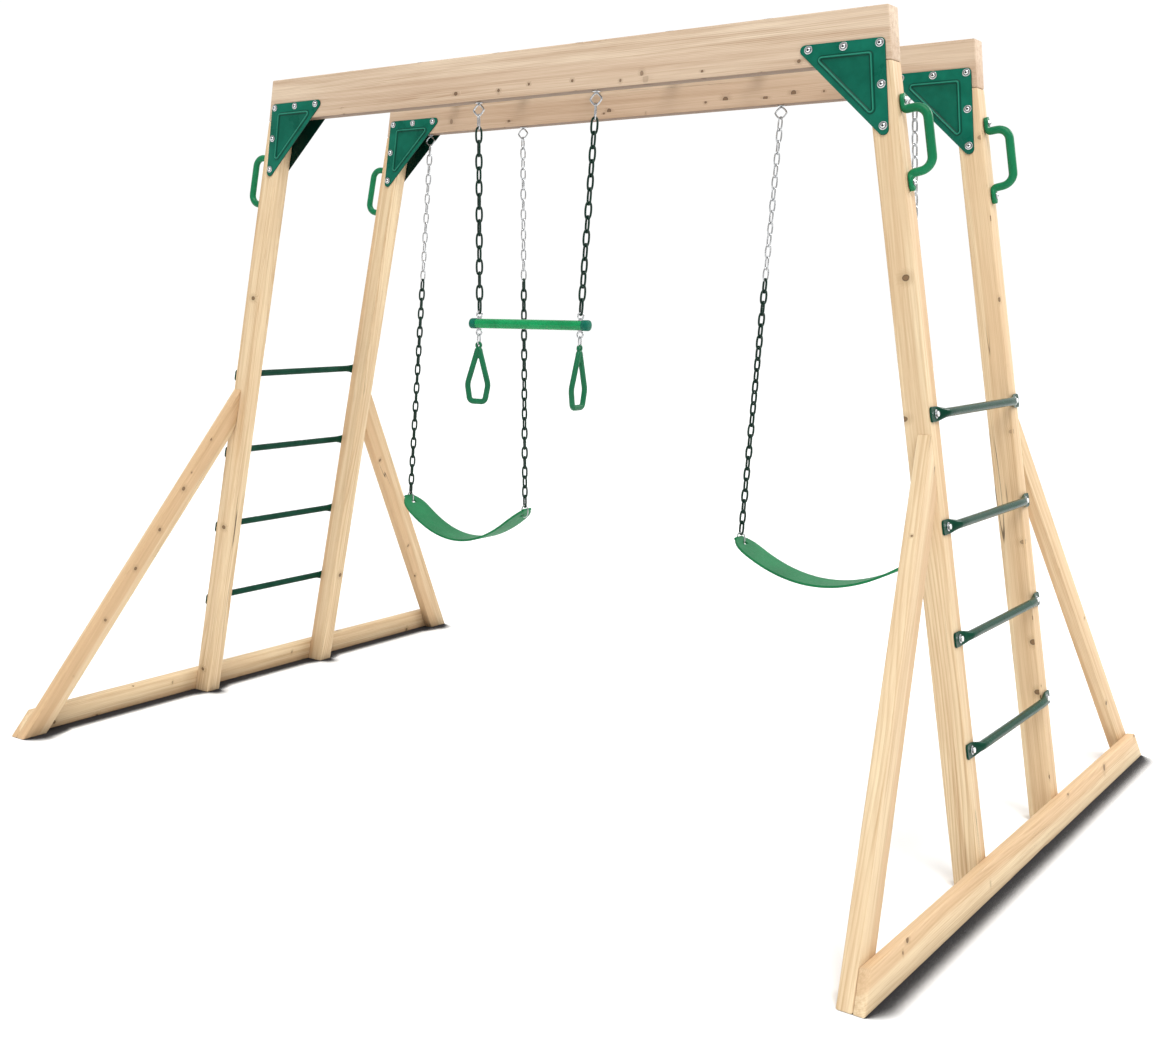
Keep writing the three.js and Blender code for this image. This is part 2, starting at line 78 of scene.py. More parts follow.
class Graph:
    """A material's node tree, built by short calls."""

    def __init__(self, name):
        self.material = bpy.data.materials.new(name)
        self.material.use_nodes = True
        self.tree = self.material.node_tree
        self.tree.nodes.clear()

    def add(self, kind, inputs=None, **settings):
        node = self.tree.nodes.new(kind)
        for key, value in settings.items():
            setattr(node, key, value)
        for key, value in (inputs or {}).items():
            self.put(node.inputs[key], value)
        return node

    def put(self, socket, value):
        if isinstance(value, bpy.types.NodeSocket):
            self.tree.links.new(value, socket)
        else:
            socket.default_value = value

    def math(self, operation, first, second=0.0, third=0.0, clamp=False):
        inputs = {0: first, 1: second, 2: third}
        return self.add("ShaderNodeMath", inputs, operation=operation, use_clamp=clamp).outputs[0]

    def vector(self, x, y, z):
        return self.add("ShaderNodeCombineXYZ", {0: x, 1: y, 2: z}).outputs[0]

    def split(self, vector):
        return self.add("ShaderNodeSeparateXYZ", {0: vector}).outputs

    def stretch(self, vector, scale):
        inputs = {0: vector, 1: scale}
        return self.add("ShaderNodeVectorMath", inputs, operation="MULTIPLY").outputs[0]

    def noise(self, vector, scale, detail=2.0, roughness=0.5):
        inputs = {"Vector": vector, "Scale": scale, "Detail": detail, "Roughness": roughness}
        return self.add("ShaderNodeTexNoise", inputs)

    def ramp(self, value, stops):
        node = self.add("ShaderNodeValToRGB", {0: value})
        elements = node.color_ramp.elements
        while len(elements) < len(stops):
            elements.new(0.5)
        for element, (place, level) in zip(elements, stops):
            element.position = place
            element.color = (level, level, level, 1)
        return node.outputs[0]

    def spread(self, value, low, high, to_low=0.0, to_high=1.0, smooth=False):
        inputs = {"Value": value, "From Min": low, "From Max": high, "To Min": to_low, "To Max": to_high}
        kind = "SMOOTHSTEP" if smooth else "LINEAR"
        return self.add("ShaderNodeMapRange", inputs, interpolation_type=kind).outputs[0]

    def mix(self, part, first, second):
        first = (*first, 1) if isinstance(first, tuple) else first
        second = (*second, 1) if isinstance(second, tuple) else second
        inputs = {0: part, 6: first, 7: second}
        return self.add("ShaderNodeMix", inputs, data_type="RGBA").outputs[2]

    def bump(self, height, distance, strength=1.0, normal=None):
        inputs = {"Height": height, "Distance": distance, "Strength": strength}
        if normal is not None:
            inputs["Normal"] = normal
        return self.add("ShaderNodeBump", inputs).outputs[0]

    def surface(self, colour, roughness, normal=None, **fixed):
        shader = self.add("ShaderNodeBsdfPrincipled")
        self.put(shader.inputs["Base Color"], colour)
        self.put(shader.inputs["Roughness"], roughness)
        if normal is not None:
            self.put(shader.inputs["Normal"], normal)
        for key, value in fixed.items():
            shader.inputs[key.replace("_", " ")].default_value = value
        output = self.add("ShaderNodeOutputMaterial")
        self.tree.links.new(shader.outputs[0], output.inputs[0])
        return self.material


def scaled(colour, factor, lift=0.0):
    return tuple(factor * channel + lift for channel in colour)


def wood(name, sap, heart, late_wood, knot_colour, tint_step=1.0):
    """Softwood cut from a log whose pith lies along the first grain coordinate: pale sapwood round
    darker heartwood, rings about the pith, knots that run out from it, fibres and drying cracks."""
    ring_gap, heart_radius = 0.0046, 0.057
    knots_along, knots_round = 4.6, 0.8
    knotless, least_knot, largest_knot = 0.36, 0.0026, 0.0092
    wander_reach = 0.045
    g = Graph(name)
    grain = g.add("ShaderNodeAttribute", attribute_name="grain").outputs["Vector"]
    facing = g.add("ShaderNodeAttribute", attribute_name="facing").outputs["Vector"]
    tint = g.add("ShaderNodeAttribute", attribute_name="tint").outputs["Fac"]
    along, across, through = g.split(grain)

    wander = g.noise(g.vector(along, 0.0, 0.0), 0.9, 1.0).outputs["Color"]
    drift = g.add("ShaderNodeSeparateColor", {0: wander})
    across = g.math("MULTIPLY_ADD", g.math("SUBTRACT", drift.outputs[0], 0.5), wander_reach, across)
    through = g.math("MULTIPLY_ADD", g.math("SUBTRACT", drift.outputs[1], 0.5), wander_reach, through)
    squares = g.math("MULTIPLY_ADD", across, across, g.math("MULTIPLY", through, through))
    radius = g.math("SQRT", squares)
    turn = g.math("ARCTAN2", through, across)

    cell_along = g.math("MULTIPLY", along, knots_along)
    cell_turn = g.math("MULTIPLY", turn, knots_round)
    cell_inputs = {"Vector": g.vector(cell_along, cell_turn, 0.0), "Scale": 1.0}
    cells = g.add("ShaderNodeTexVoronoi", cell_inputs, voronoi_dimensions="2D")
    centre_along, centre_turn, _ = g.split(cells.outputs["Position"])
    chance = g.add("ShaderNodeSeparateColor", {0: cells.outputs["Color"]})
    from_along = g.math("MULTIPLY_ADD", centre_along, -1 / knots_along, along)
    branch_turn = g.math("DIVIDE", centre_turn, knots_round)
    from_round = g.math("MULTIPLY", g.math("SUBTRACT", turn, branch_turn), radius)
    branch = g.vector(0.0, g.math("COSINE", branch_turn), g.math("SINE", branch_turn))
    met = g.add("ShaderNodeVectorMath", {0: branch, 1: facing}, operation="DOT_PRODUCT")
    square_on = g.spread(g.math("ABSOLUTE", met.outputs["Value"]), 0.5, 0.75)
    ragged = g.noise(grain, 240.0, 2.0).outputs[0]
    flat = g.math("MULTIPLY_ADD", from_along, from_along, g.math("MULTIPLY", from_round, from_round))
    distance = g.math("MULTIPLY_ADD", g.math("SUBTRACT", ragged, 0.5), 0.0022, g.math("SQRT", flat))
    exists = g.math("MULTIPLY", g.math("GREATER_THAN", chance.outputs[0], knotless), square_on)
    size = g.spread(chance.outputs[1], 0.0, 1.0, least_knot, largest_knot)
    reach = g.math("DIVIDE", distance, size)
    knot = g.math("MULTIPLY", g.spread(reach, 1.15, 0.85), exists)
    halo = g.math("MULTIPLY", g.spread(reach, 3.6, 1.0, smooth=True), exists)

    ripple = g.noise(g.stretch(grain, (1.3, 24.0, 24.0)), 1.0, 2.0).outputs[0]
    bent = g.math("MULTIPLY_ADD", g.math("SUBTRACT", ripple, 0.5), 0.008, radius)
    bent = g.math("MULTIPLY_ADD", g.math("MULTIPLY", halo, size), 1.5, bent)
    phase = g.math("FRACT", g.math("DIVIDE", bent, ring_gap))
    late = g.ramp(phase, [(0.0, 0.0), (0.4, 0.1), (0.84, 1.0), (0.95, 0.5), (1.0, 0.0)])
    strength = g.noise(g.stretch(grain, (0.8, 14.0, 14.0)), 1.0, 1.0).outputs[0]
    late = g.math("MULTIPLY", late, g.spread(strength, 0.35, 0.65, 0.25, 1.0))

    fibres = g.noise(g.stretch(grain, (6.0, 230.0, 230.0)), 1.0, 4.0, 0.65).outputs[0]
    streaks = g.noise(g.stretch(grain, (1.2, 60.0, 60.0)), 1.0, 3.0, 0.6).outputs[0]
    patches = g.noise(g.stretch(grain, (2.4, 9.0, 9.0)), 1.0, 2.0).outputs[0]
    edge = g.math("MULTIPLY_ADD", g.math("SUBTRACT", patches, 0.5), 0.012, radius)
    hearty = g.spread(edge, heart_radius + 0.005, heart_radius - 0.005, smooth=True)
    hearty = g.math("MULTIPLY", hearty, tint_step)
    hearty = g.math("ADD", g.math("MULTIPLY", hearty, 0.75), g.math("MULTIPLY", tint, 0.6), clamp=True)
    body = g.mix(hearty, sap, heart)
    shade = g.math("MULTIPLY_ADD", late, 0.5, g.spread(streaks, 0.42, 0.7, 0.0, 0.55))
    shade = g.math("ADD", shade, g.spread(fibres, 0.3, 0.7, -0.16, 0.28), clamp=True)
    colour = g.mix(shade, body, late_wood)
    colour = g.mix(g.spread(patches, 0.35, 0.75, 0.0, 0.38), colour, heart)

    halo_colour = tuple(0.62 * a + 0.38 * b for a, b in zip(late_wood, knot_colour))
    colour = g.mix(g.math("MULTIPLY", halo, 0.38), colour, halo_colour)
    core_rings = g.math("FRACT", g.math("MULTIPLY", distance, 640.0))
    core_rings = g.spread(core_rings, 0.2, 0.95, 0.0, 0.45)
    core = g.mix(core_rings, scaled(knot_colour, 1.7), knot_colour)
    core = g.mix(g.spread(reach, 0.62, 0.95), core, scaled(knot_colour, 0.35))
    colour = g.mix(g.math("MULTIPLY", knot, 0.95), colour, core)

    split_path = g.noise(g.stretch(grain, (0.7, 26.0, 26.0)), 1.0, 1.0).outputs[0]
    split_where = g.noise(g.stretch(grain, (2.0, 7.0, 7.0)), 1.0, 1.0).outputs[0]
    thin = g.spread(g.math("ABSOLUTE", g.math("SUBTRACT", split_path, 0.5)), 0.005, 0.0015)
    split = g.math("MULTIPLY", thin, g.spread(split_where, 0.62, 0.66))
    colour = g.mix(g.math("MULTIPLY", split, 0.8), colour, scaled(knot_colour, 0.3))

    # Faces that look at the ground are darkened: painted shade under the wood.
    _, _, lift = g.split(g.add("ShaderNodeNewGeometry").outputs["Normal"])
    colour = g.mix(g.spread(lift, -0.7, -0.98, 0.0, 0.8), colour, knot_colour)

    roughness = g.math("ADD", g.spread(fibres, 0.2, 0.8, 0.58, 0.76), g.math("MULTIPLY", late, -0.06))
    relief = g.math("MULTIPLY_ADD", late, 0.35, fibres)
    relief = g.math("MULTIPLY_ADD", split, -2.5, g.math("MULTIPLY_ADD", knot, 0.5, relief))
    return g.surface(colour, roughness, g.bump(relief, 0.0005, 0.7), Specular_IOR_Level=0.3)


def painted(name, colour, roughness, shine):
    """Powder-coated steel: slightly dimpled, paler in patches and on scuffs, with a painted highlight on
    proud edges and painted shade in creases."""
    g = Graph(name)
    place = g.add("ShaderNodeTexCoord").outputs["Object"]
    patches = g.noise(place, 14.0, 4.0, 0.6).outputs[0]
    specks = g.noise(place, 900.0, 1.0).outputs[0]
    scuffs = g.noise(g.stretch(place, (60.0, 420.0, 60.0)), 1.0, 3.0, 0.6).outputs[0]
    tone = g.mix(g.spread(patches, 0.3, 0.7), scaled(colour, 0.78), scaled(colour, 1.2, 0.002))
    tone = g.mix(g.spread(scuffs, 0.66, 0.8, 0.0, 0.3), tone, scaled(colour, 1.5, 0.008))
    gloss = g.spread(patches, 0.3, 0.7, roughness - 0.06, roughness + 0.08)
    gloss = g.math("ADD", gloss, g.spread(scuffs, 0.6, 0.8, 0.0, 0.14))
    # Painted shade in creases (relief above 0) and a painted highlight on proud edges (relief below 0).
    relief = g.add("ShaderNodeAttribute", attribute_name="relief").outputs["Fac"]
    tone = g.mix(g.spread(relief, 0.0, 1.0), tone, scaled(colour, 0.16))
    tone = g.mix(g.spread(relief, 0.0, -1.0), tone, scaled(colour, 1.9, 0.03))
    dimples = g.bump(specks, 0.00012, 0.5, g.bump(patches, 0.0006, 0.25))
    return g.surface(tone, gloss, dimples, Specular_IOR_Level=shine)


def plastic(name, colour, roughness, grain_scale=1500.0, grain_depth=0.00012):
    """Moulded plastic or rubber: fine pebbled skin, soft colour drift and faint flow marks."""
    g = Graph(name)
    place = g.add("ShaderNodeTexCoord").outputs["Object"]
    drift = g.noise(place, 9.0, 3.0, 0.5).outputs[0]
    pebbles = g.add("ShaderNodeTexVoronoi", {"Vector": place, "Scale": grain_scale})
    rubbed = g.noise(g.stretch(place, (90.0, 90.0, 18.0)), 1.0, 4.0, 0.65).outputs[0]
    tone = g.mix(g.spread(drift, 0.3, 0.7), scaled(colour, 0.84), scaled(colour, 1.16, 0.002))
    tone = g.mix(g.spread(rubbed, 0.6, 0.82, 0.0, 0.35), tone, scaled(colour, 1.35, 0.008))
    gloss = g.spread(rubbed, 0.2, 0.85, roughness - 0.05, roughness + 0.16)
    pebbled = g.bump(pebbles.outputs["Distance"], grain_depth, 0.6)
    return g.surface(tone, gloss, pebbled, Specular_IOR_Level=0.22)


def zinc_plate(name):
    """Bright zinc: metal with faint spangle and dull spots, painted shade in creases and a painted
    highlight where proud.
    """
    g = Graph(name)
    place = g.add("ShaderNodeTexCoord").outputs["Object"]
    spangle = g.add("ShaderNodeTexVoronoi", {"Vector": place, "Scale": 240.0}).outputs["Color"]
    grey = g.add("ShaderNodeSeparateColor", {0: spangle}).outputs[0]
    dull = g.noise(place, 75.0, 4.0, 0.65).outputs[0]
    tone = g.mix(g.spread(dull, 0.35, 0.75), (0.66, 0.67, 0.68), (0.34, 0.35, 0.36))
    tone = g.mix(g.math("MULTIPLY", grey, 0.22), tone, (0.5, 0.52, 0.55))
    # Painted shade in creases (relief above 0) and a painted highlight where proud (relief below 0).
    relief = g.add("ShaderNodeAttribute", attribute_name="relief").outputs["Fac"]
    tone = g.mix(g.spread(relief, 0.0, 1.0), tone, (0.07, 0.07, 0.075))
    tone = g.mix(g.spread(relief, 0.0, -1.0), tone, (0.93, 0.94, 0.95))
    gloss = g.spread(dull, 0.3, 0.75, 0.16, 0.4)
    return g.surface(tone, gloss, g.bump(dull, 0.0002, 0.4), Metallic=0.92)


MATERIALS = {
    "beam_wood": wood(
        "beam_wood",
        sap=(0.73, 0.59, 0.435),
        heart=(0.58, 0.42, 0.295),
        late_wood=(0.43, 0.28, 0.175),
        knot_colour=(0.12, 0.07, 0.04),
        tint_step=0.6,
    ),
    "post_wood": wood(
        "post_wood",
        sap=(0.80, 0.645, 0.42),
        heart=(0.64, 0.43, 0.245),
        late_wood=(0.50, 0.32, 0.165),
        knot_colour=(0.13, 0.075, 0.035),
    ),
    "rung_paint": painted("rung_paint", (0.003, 0.044, 0.024), 0.2, 0.06),
    "plate_paint": painted("plate_paint", (0.002, 0.122, 0.076), 0.3, 0.14),
    "handle_plastic": plastic("handle_plastic", (0.003, 0.17, 0.065), 0.34),
    "belt_rubber": plastic("belt_rubber", (0.006, 0.165, 0.055), 0.5, 900.0, 0.0003),
    "ring_plastic": plastic("ring_plastic", (0.004, 0.125, 0.05), 0.36),
    "bar_paint": painted("bar_paint", (0.002, 0.26, 0.078), 0.22, 0.3),
    "zinc": zinc_plate("zinc"),
    "chain_coat": plastic("chain_coat", (0.002, 0.022, 0.013), 0.3, 1200.0, 0.0001),
}


# ---------------------------------------------------------------- mesh tools


class Shell:
    """Collects closed surfaces and makes one piece of them. A part is its points, its faces and, for
    pressed and turned parts, how deep in a crease each point lies: above 0 in, below 0 proud. The paints
    turn this into painted shade in creases and a painted highlight where proud."""

    def __init__(self):
        self.points = []
        self.faces = []
        self.relief = []

    def add(self, part, place=None):
        points, faces, *relief = part
        start = len(self.points)
        self.relief += relief[0] if relief else [0.0] * len(points)
        self.points += [place @ Vector(p) for p in points] if place else [Vector(p) for p in points]
        self.faces += [[start + corner for corner in face] for face in faces]
        return self

    def piece(self, name, slot, body, nodes=(), crease=40.0):
        mesh = bpy.data.meshes.new(name)
        mesh.from_pydata(self.points, [], self.faces)
        mesh.validate()
        form = bmesh.new()
        form.from_mesh(mesh)
        bmesh.ops.recalc_face_normals(form, faces=form.faces)
        form.to_mesh(mesh)
        form.free()
        if any(self.relief):
            # The relief drives painted shade and painted highlight in the paint and zinc materials.
            give(mesh, "relief", "FLOAT", "POINT", self.relief)
        mesh.shade_smooth()
        mesh.set_sharp_from_angle(angle=math.radians(crease))
        return finished(mesh, name, slot, body, nodes)


def give(mesh, name, kind, domain, values):
    """An attribute, found again by name, because making one moves the others."""
    mesh.attributes.new(name, kind, domain)
    field = "vector" if kind == "FLOAT_VECTOR" else "value"
    mesh.attributes[name].data.foreach_set(field, values)


def finished(mesh, name, slot, body, nodes=()):
    piece = bpy.data.objects.new(name, mesh)
    scene.collection.objects.link(piece)
    mesh.materials.clear()
    mesh.materials.append(MATERIALS[slot])
    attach(piece, body)
    if nodes:
        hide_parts(*nodes)
    return piece


def skin(rings, closed=False):
    """Faces through rings of points, capped at both ends unless the rings close on themselves."""
    count = len(rings[0])
    points = [point for ring in rings for point in ring]
    faces = []
    for here in range(len(rings) if closed else len(rings) - 1):
        after = (here + 1) % len(rings)
        for side in range(count):
            beside = (side + 1) % count
            near, far = here * count, after * count
            faces.append([near + side, near + beside, far + beside, far + side])
    if not closed:
        faces.append(list(range(count))[::-1])
        faces.append([(len(rings) - 1) * count + side for side in range(count)])
    return points, faces


def powered(value, power):
    """The value raised to a power, with its sign kept."""
    return math.copysign(abs(value) ** power, value)


def eased(part):
    return part * part * (3 - 2 * part)


def arc_arm(start, end, part):
    """The arm that is part of the way round from start to end, two arms of one length."""
    arc = start.angle(end)
    return (start * math.sin((1 - part) * arc) + end * math.sin(part * arc)) / math.sin(arc)


def half_turn(wanted, axis):
    return Matrix.Rotation(math.pi if wanted else 0, 4, axis)


def oval(centre, across, along, half_across, half_along, count, squareness):
    """A closed ring of points: an ellipse at squareness 1, nearer to a rectangle below it."""
    ring = []
    for step in range(count):
        angle = 2 * math.pi * (step + 0.5) / count
        c = powered(math.cos(angle), squareness)
        s = powered(math.sin(angle), squareness)
        ring.append(centre + across * half_across * c + along * half_along * s)
    return ring


def sweep(path, sizes, side, count, closed=False):
    """An oval section along a flat path. side is the path plane's normal; sizes holds the half
    sizes in the plane and across it for each point, and how square the section is."""
    rings = []
    last = len(path) - 1
    for place, point in enumerate(path):
        ahead = path[(place + 1) % len(path)] if closed else path[min(place + 1, last)]
        behind = path[place - 1] if closed or place else path[0]
        tangent = (ahead - behind).normalized()
        in_plane = tangent.cross(side).normalized()
        half_in, half_side, squareness = sizes[place]
        rings.append(oval(point, in_plane, side, half_in, half_side, count, squareness))
    return skin(rings, closed)


def rounded(corners, radii, closed=False):
    """A path through the corners, each rounded by its radius."""
    steps = 8
    path = []
    for place, corner in enumerate(corners):
        if not closed and place in (0, len(corners) - 1):
            path.append(corner)
            continue
        before = (corners[place - 1] - corner).normalized()
        after = (corners[(place + 1) % len(corners)] - corner).normalized()
        half_angle = before.angle(after) / 2
        radius = radii[place]
        centre = corner + (before + after).normalized() * radius / math.sin(half_angle)
        start = corner + before * radius / math.tan(half_angle) - centre
        end = corner + after * radius / math.tan(half_angle) - centre
        path += [centre + arc_arm(start, end, step / steps) for step in range(steps + 1)]
    return path


def filled(path, longest):
    """The path with extra points, so that no step is longer than the given length."""
    result = [path[0]]
    for point in path[1:]:
        count = max(1, math.ceil((point - result[-1]).length / longest))
        start = result[-1].copy()
        result += [start.lerp(point, (step + 1) / count) for step in range(count)]
    return result


TURNED_SIDES = 24


def revolve(profile, count=TURNED_SIDES):
    """A turned part about Z. Each profile point is (radius, height) or (radius, height, "hex")."""
    rings = []
    for radius, height, *kind in profile:
        ring = []
        for step in range(count):
            angle = 2 * math.pi * step / count
            reach = radius
            if kind:
                off = (angle + math.pi / 6) % (math.pi / 3) - math.pi / 6
                reach = radius / math.cos(off)
            ring.append(Vector((reach * math.cos(angle), reach * math.sin(angle), height)))
        rings.append(ring)
    return skin(rings)


def screw_head(washer=0.0115, head=0.0068, high=0.0042):
    """A button head with a hexagon socket on a round washer, its back on the plane z = 0."""
    thick = 0.0016
    top = thick + high
    points, faces = revolve([
        (washer * 0.9, 0.0),
        (washer, 0.0003),
        (washer, thick - 0.0004),
        (washer - 0.0006, thick),
        (head + 0.0002, thick),
        (head, thick + 0.0006),
        (head * 0.93, thick + high * 0.55),
        (head * 0.72, thick + high * 0.9),
        (head * 0.52, top),
        (head * 0.42, top, "hex"),
        (head * 0.4, top - high * 0.6, "hex"),
        (head * 0.1, top - high * 0.75),
    ])
    # Painted shade (above 0) and painted highlight (below 0) for each ring of the head.
    levels = (1.0, 1.0, 0.8, -0.7, 0.9, 0.3, -0.5, -1.0, -0.8, 0.2, 1.0, 1.0)
    return points, faces, [level for level in levels for _ in range(TURNED_SIDES)]


def hex_bolt():
    """A hexagon bolt head with a chamfered top on a washer."""
    washer, thick = 0.0125, 0.0018
    flat, high = 0.0075, 0.0055
    points, faces = revolve([
        (washer * 0.92, 0.0),
        (washer, 0.0003),
        (washer, thick - 0.0004),
        (washer - 0.0006, thick),
        (flat * 0.98, thick, "hex"),
        (flat, thick + 0.0004, "hex"),
        (flat, thick + high * 0.82, "hex"),
        (flat * 0.98, thick + high),
        (flat * 0.3, thick + high),
    ])
    # Painted shade (above 0) and painted highlight (below 0) for each ring of the bolt.
    levels = (1.0, 1.0, 0.8, -0.6, 0.9, 0.5, -0.3, -0.8, -1.0)
    return points, faces, [level for level in levels for _ in range(TURNED_SIDES)]


# ---------------------------------------------------------------- camera, light and floor


def add_camera():
    """The camera stands to the front right, below the height of the beams."""
    turn, tilt, roll = 0.74025, -0.15693, 0.00495
    look = Vector((-math.sin(turn) * math.cos(tilt), math.cos(turn) * math.cos(tilt), math.sin(tilt)))
    right = Vector((math.cos(turn), math.sin(turn), 0))
    level_right, level_up = right, right.cross(look)
    right = level_right * math.cos(roll) + level_up * math.sin(roll)
    up = level_up * math.cos(roll) - level_right * math.sin(roll)
    data = bpy.data.cameras.new("camera")
    data.sensor_width = 36.0
    data.lens = 45.34
    data.shift_x = 0.2695
    data.clip_end = 200.0
    camera = bpy.data.objects.new("camera", data)
    axes = Matrix((right, up, -look)).transposed()
    camera.matrix_world = Matrix.Translation((2.628, -4.495, 1.611)) @ axes.to_4x4()
    scene.collection.objects.link(camera)
    scene.camera = camera


def hang_lamp(data, way):
    lamp = bpy.data.objects.new(data.name, data)
    lamp.rotation_mode = "QUATERNION"
    lamp.rotation_quaternion = Vector(way).to_track_quat("-Z", "Y")
    scene.collection.objects.link(lamp)
    return lamp


def add_panel(name, place, target, size, watts):
    data = bpy.data.lights.new(name, "AREA")
    data.shape = "RECTANGLE"
    data.size, data.size_y = size
    data.energy = watts
    hang_lamp(data, Vector(target) - Vector(place)).location = place


def add_sun(name, way, strength, angle):
    data = bpy.data.lights.new(name, "SUN")
    data.energy = strength
    data.angle = math.radians(angle)
    hang_lamp(data, way)


def add_sky():
    """White light from all round: full behind the object and overhead, dimmer towards the viewer."""
    world = bpy.data.worlds.new("studio")
    world.use_nodes = True
    tree = world.node_tree
    backdrop = tree.nodes["Background"]
    way = tree.nodes.new("ShaderNodeTexCoord").outputs["Generated"]
    behind = tree.nodes.new("ShaderNodeVectorMath")
    behind.operation = "DOT_PRODUCT"
    behind.inputs[1].default_value = (-0.66, 0.75, 0.0)
    tree.links.new(way, behind.inputs[0])
    level = tree.nodes.new("ShaderNodeMapRange")
    level.interpolation_type = "SMOOTHSTEP"
    limits = {"From Min": 0.0, "From Max": 0.45, "To Min": 0.5, "To Max": 1.03}
    for key, value in limits.items():
        level.inputs[key].default_value = value
    tree.links.new(behind.outputs["Value"], level.inputs[0])
    backdrop.inputs[0].default_value = (1.0, 1.0, 1.0, 1.0)
    tree.links.new(level.outputs[0], backdrop.inputs[1])
    scene.world = world


def add_floor():
    """A plain pale floor, with a dark painted contact shadow on the open side of what stands on it."""
    half = 30.0
    corners = [(-half, -half, 0), (half, -half, 0), (half, half, 0), (-half, half, 0)]
    mesh = bpy.data.meshes.new("floor")
    mesh.from_pydata(corners, [], [(0, 1, 2, 3)])
    g = Graph("floor")
    place = g.add("ShaderNodeTexCoord").outputs["Object"]
    cloud = g.noise(place, 1.5, 2.0).outputs[0]
    tone = g.mix(cloud, (0.94, 0.94, 0.94), (0.97, 0.97, 0.97))
    # Painted contact shadow: the floor darkens where ambient occlusion, tilted to one side, finds
    # something near.
    shade_inputs = {"Distance": 0.085, "Normal": g.vector(-0.8, -0.1, 0.6)}
    painted_shadow_ao = g.add("ShaderNodeAmbientOcclusion", shade_inputs).outputs["AO"]
    tone = g.mix(g.spread(painted_shadow_ao, 0.5, 0.86, smooth=True), (0.006, 0.006, 0.009), tone)
    mesh.materials.append(g.surface(tone, 0.9))
    floor = bpy.data.objects.new("floor", mesh)
    scene.collection.objects.link(floor)


def add_studio():
    add_sky()
    add_floor()
    add_sun("key", way=(-0.34, 0.42, -0.84), strength=2.3, angle=34)
    add_panel("rim", place=(3.6, 4.2, 4.6), target=(1.3, 0, 1.2), size=(2.4, 1.6), watts=150)
    scene.view_settings.view_transform = "Standard"


# ---------------------------------------------------------------- timber


def timber(node, seed, tint):
    """A sawn piece with eased edges. Its grain runs along its longest direction."""
    slot = "beam_wood" if node.startswith("beam") else "post_wood"
    ease = 0.004
    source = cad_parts[node]
    form = bmesh.new()
    form.from_mesh(source.data)
    bmesh.ops.remove_doubles(form, verts=form.verts, dist=1e-5)
    bmesh.ops.dissolve_limit(form, angle_limit=math.radians(2), verts=form.verts, edges=form.edges)
    longest = max(form.edges, key=lambda edge: edge.calc_length())
    grain_way = (longest.verts[1].co - longest.verts[0].co).normalized()
    if grain_way.dot(X + Y * 0.5 + Z * 0.7) < 0:
        grain_way.negate()
    centre = sum((vert.co for vert in form.verts), Vector()) / len(form.verts)
    bmesh.ops.bevel(form, geom=form.edges[:], offset=ease, segments=3, profile=0.5, affect="EDGES")
    bmesh.ops.recalc_face_normals(form, faces=form.faces)
    mesh = bpy.data.meshes.new(node + "_timber")
    form.to_mesh(mesh)
    form.free()
    dice = random.Random(seed)
    across = grain_way.cross(Y if abs(grain_way.dot(Y)) < 0.9 else X).normalized()
    through = grain_way.cross(across)
    pith_across = dice.uniform(0.03, 0.07) * dice.choice((-1, 1))
    pith_through = dice.uniform(0.02, 0.06) * dice.choice((-1, 1))
    start = dice.uniform(0.0, 40.0)
    places = []
    for vertex in mesh.vertices:
        off = vertex.co - centre
        places.append(off.dot(grain_way) + start)
        places.append(off.dot(across) + pith_across)
        places.append(off.dot(through) + pith_through)
    normals = []
    for face in mesh.polygons:
        normals += [0.0, face.normal.dot(across), face.normal.dot(through)]
    give(mesh, "grain", "FLOAT_VECTOR", "POINT", places)
    give(mesh, "facing", "FLOAT_VECTOR", "FACE", normals)
    give(mesh, "tint", "FLOAT", "POINT", [tint] * len(mesh.vertices))
    mesh.shade_smooth()
    mesh.set_sharp_from_angle(angle=math.radians(50))
    finished(mesh, node + "_timber", slot, "frame", [node])


# Each piece is cut from its own log, given by a seed, and some are darker than others.
TIMBER = {
    "beam_front": (11, 0.0),
    "beam_rear": (12, 0.75),
    "base_rail_left": (13, 0.35),
    "base_rail_right": (16, 0.0),
    "post_front_left": (14, 0.3),
    "post_rear_left": (15, 0.15),
    "post_front_right": (17, 0.1),
    "post_rear_right": (18, -0.45),
    "brace_front_left": (64, 0.3),
    "brace_rear_left": (65, 0.25),
    "brace_front_right": (67, 0.05),
    "brace_rear_right": (68, 0.5),
}


# ---------------------------------------------------------------- gusset plates


TIP = 0.014
GUSSET_SLOPE = 0.11
PLATE_THICK = 0.0031
SCREWS_INWARD = (0.0, 0.097, 0.194)
SCREWS_DOWNWARD = (0.109, 0.219)


def inset_triangle(tips, insets):
    """The triangle whose sides lie inside the given one by an amount for each side."""
    lines = []
    for place, inset in enumerate(insets):
        start, end = tips[place], tips[(place + 1) % 3]
        along = (end - start).normalized()
        inward = tips[(place + 2) % 3] - start
        inward = (inward - along * inward.dot(along)).normalized()
        lines.append((start + inward * inset, along))
    corners = []
    for place in range(3):
        (first, way), (second, other) = lines[place - 1], lines[place]
        gap = second - first
        off = other.cross(Y)
        corners.append(first + way * gap.dot(off) / way.dot(off))
    return corners


def rounded_triangle(tips, outset):
    """Arcs of one radius round three points."""
    steps = 6
    ring = []
    for place, tip in enumerate(tips):
        before = (tips[place - 1] - tip).normalized()
        after = (tips[(place + 1) % 3] - tip).normalized()
        start = before.cross(Y) if before.cross(Y).dot(after) < 0 else -before.cross(Y)
        end = after.cross(Y) if after.cross(Y).dot(before) < 0 else -after.cross(Y)
        for step in range(steps + 1):
            ring.append(tip + arc_arm(start, end, step / steps).normalized() * outset)
    return ring


